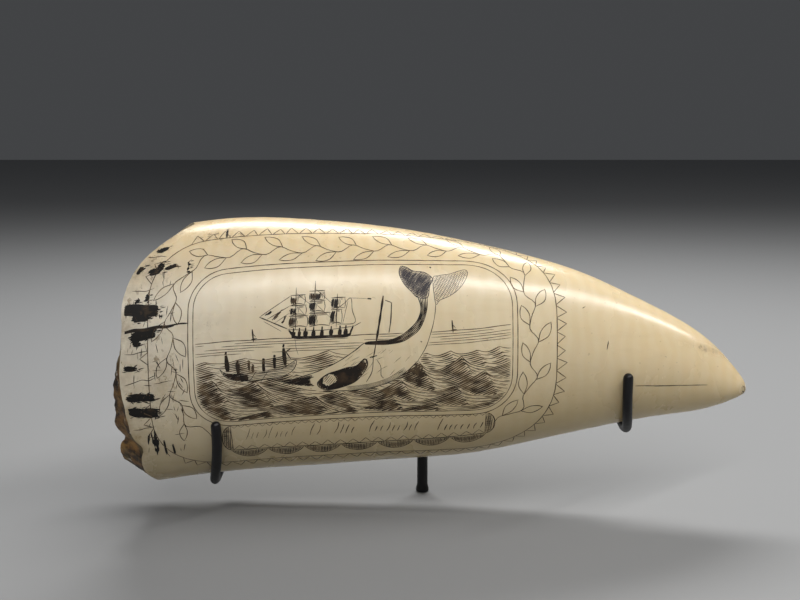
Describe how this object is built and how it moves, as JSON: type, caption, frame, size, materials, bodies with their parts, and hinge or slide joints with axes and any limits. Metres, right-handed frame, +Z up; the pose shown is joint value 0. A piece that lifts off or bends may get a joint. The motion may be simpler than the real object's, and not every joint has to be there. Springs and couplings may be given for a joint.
{
  "type": "scrimshaw whale tooth",
  "caption": "Engraved sperm whale tooth with an open root cavity, lying level in a bent black rod cradle on one thin post.",
  "frame": {"origin": "centre of the flat foot of the cradle's post", "axes": "+Z up the post, +X towards the tooth's tip, +Y towards its back; the engraved side faces -Y"},
  "size_m": [0.187, 0.0541, 0.0897],
  "materials": {
    "tooth_ivory": "polished",
    "black_paint": "satin"
  },
  "bodies": {
    "root": {"tooth": "tooth_ivory", "cradle": "black_paint"}
  },
  "joints": []
}
